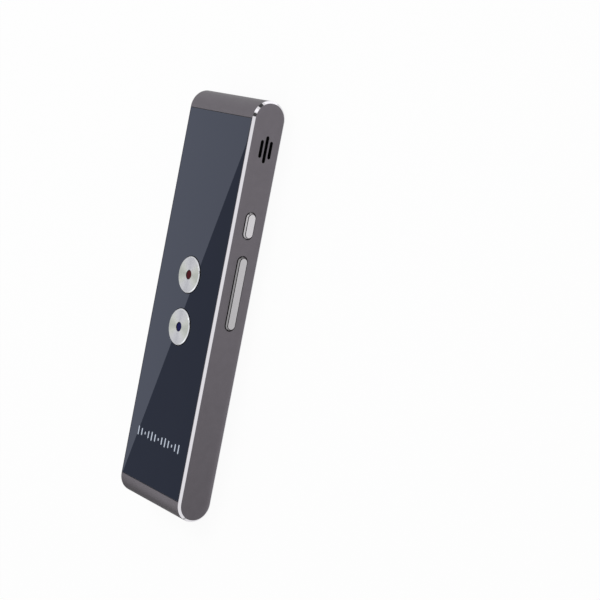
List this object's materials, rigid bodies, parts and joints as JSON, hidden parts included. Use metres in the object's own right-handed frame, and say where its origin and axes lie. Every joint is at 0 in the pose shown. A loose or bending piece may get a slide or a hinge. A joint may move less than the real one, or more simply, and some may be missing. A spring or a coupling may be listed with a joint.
{
  "type": "handheld translator",
  "caption": "Flat metal bar device with a glossy front panel, round push buttons, side keys, speaker slots, and a charging socket in the bottom end.",
  "frame": {"origin": "middle of the flat back, which the part lies on", "axes": "+X towards the side with the keys, +Y along the bar towards the speaker end, +Z out of the front panel"},
  "size_m": [0.0388, 0.1388, 0.0132],
  "materials": {
    "body_metal": "bead blasted and anodised, dark grey with a violet tint, polished chamfers",
    "panel": "gloss, near black with a blue tint",
    "button_metal": "spun, bright silver",
    "key_metal": "satin silver",
    "dot_red": "gloss",
    "dot_blue": "gloss",
    "steel": "plated",
    "dark_plastic": "moulded",
    "pale_plastic": "moulded",
    "frame_plastic": "moulded, glass filled",
    "adhesive": "matte",
    "foam": "matte foam",
    "rubber": "matte",
    "board": "solder mask",
    "chip": "moulded",
    "film": "tape",
    "cell": "laminate pouch",
    "lead_red": "insulation",
    "lead_black": "insulation"
  },
  "bodies": {
    "main_body": {"housing": "body_metal", "front_panel": "panel", "panel_adhesive": "adhesive", "inner_frame": "frame_plastic", "frame_screw_1": "steel", "frame_screw_2": "steel", "frame_screw_3": "steel", "frame_screw_4": "steel", "frame_screw_5": "steel", "frame_screw_6": "steel", "main_board": "board", "main_chip": "chip", "memory_chip": "chip", "radio_module": "board", "radio_shield": "steel", "charge_chip": "chip", "crystal": "steel", "button_a_switch_case": "dark_plastic", "button_b_switch_case": "dark_plastic", "power_switch_case": "dark_plastic", "volume_up_switch_case": "dark_plastic", "volume_down_switch_case": "dark_plastic", "speaker_basket": "dark_plastic", "speaker_magnet": "steel", "speaker_diaphragm": "foam", "speaker_gasket": "foam", "speaker_mesh": "dark_plastic", "speaker_lead_1": "lead_red", "speaker_lead_2": "lead_black", "microphone_boot": "rubber", "microphone": "steel", "usb_shell": "steel", "usb_tongue": "dark_plastic", "battery": "cell", "battery_tape": "film", "battery_socket": "pale_plastic", "battery_plug": "pale_plastic", "battery_lead_plus": "lead_red", "battery_lead_minus": "lead_black"},
    "button_a": {"button_a_cap": "button_metal", "button_a_dot": "dot_red", "button_a_carrier": "frame_plastic", "button_a_switch_plunger": "steel"},
    "button_b": {"button_b_cap": "button_metal", "button_b_dot": "dot_blue", "button_b_carrier": "frame_plastic", "button_b_switch_plunger": "steel"},
    "power_key": {"power_key": "key_metal", "power_switch_plunger": "steel"},
    "volume_key": {"volume_key": "key_metal", "volume_key_pad": "rubber"},
    "volume_up_plunger": {"volume_up_switch_plunger": "steel"},
    "volume_down_plunger": {"volume_down_switch_plunger": "steel"}
  },
  "joints": [
    {"name": "button_a_press", "type": "slide", "parent": "main_body", "child": "button_a", "axis": [0, 0, -1], "range_m": [0, 0.0003], "stiffness_N_per_m": 400, "springref_m": -0.001},
    {"name": "button_b_press", "type": "slide", "parent": "main_body", "child": "button_b", "axis": [0, 0, -1], "range_m": [0, 0.0003], "stiffness_N_per_m": 400, "springref_m": -0.001},
    {"name": "power_key_press", "type": "slide", "parent": "main_body", "child": "power_key", "axis": [-1, 0, 0], "range_m": [0, 0.0003], "stiffness_N_per_m": 400, "springref_m": -0.001},
    {"name": "volume_key_rock", "type": "hinge", "parent": "main_body", "child": "volume_key", "pos_m": [0.0166, 0.0068, 0.00635], "axis": [0, 0, 1], "range_deg": [-1.2, 1.2], "stiffness_Nm_per_rad": 0.3},
    {"name": "volume_up_press", "type": "slide", "parent": "main_body", "child": "volume_up_plunger", "axis": [-1, 0, 0], "range_m": [-0.00018, 0.00018]},
    {"name": "volume_down_press", "type": "slide", "parent": "main_body", "child": "volume_down_plunger", "axis": [-1, 0, 0], "range_m": [-0.00018, 0.00018]}
  ],
  "couplings": [
    {"joint": "volume_up_press", "follows": "volume_key_rock", "m_per_rad": 0.0085},
    {"joint": "volume_down_press", "follows": "volume_key_rock", "m_per_rad": -0.0085}
  ]
}
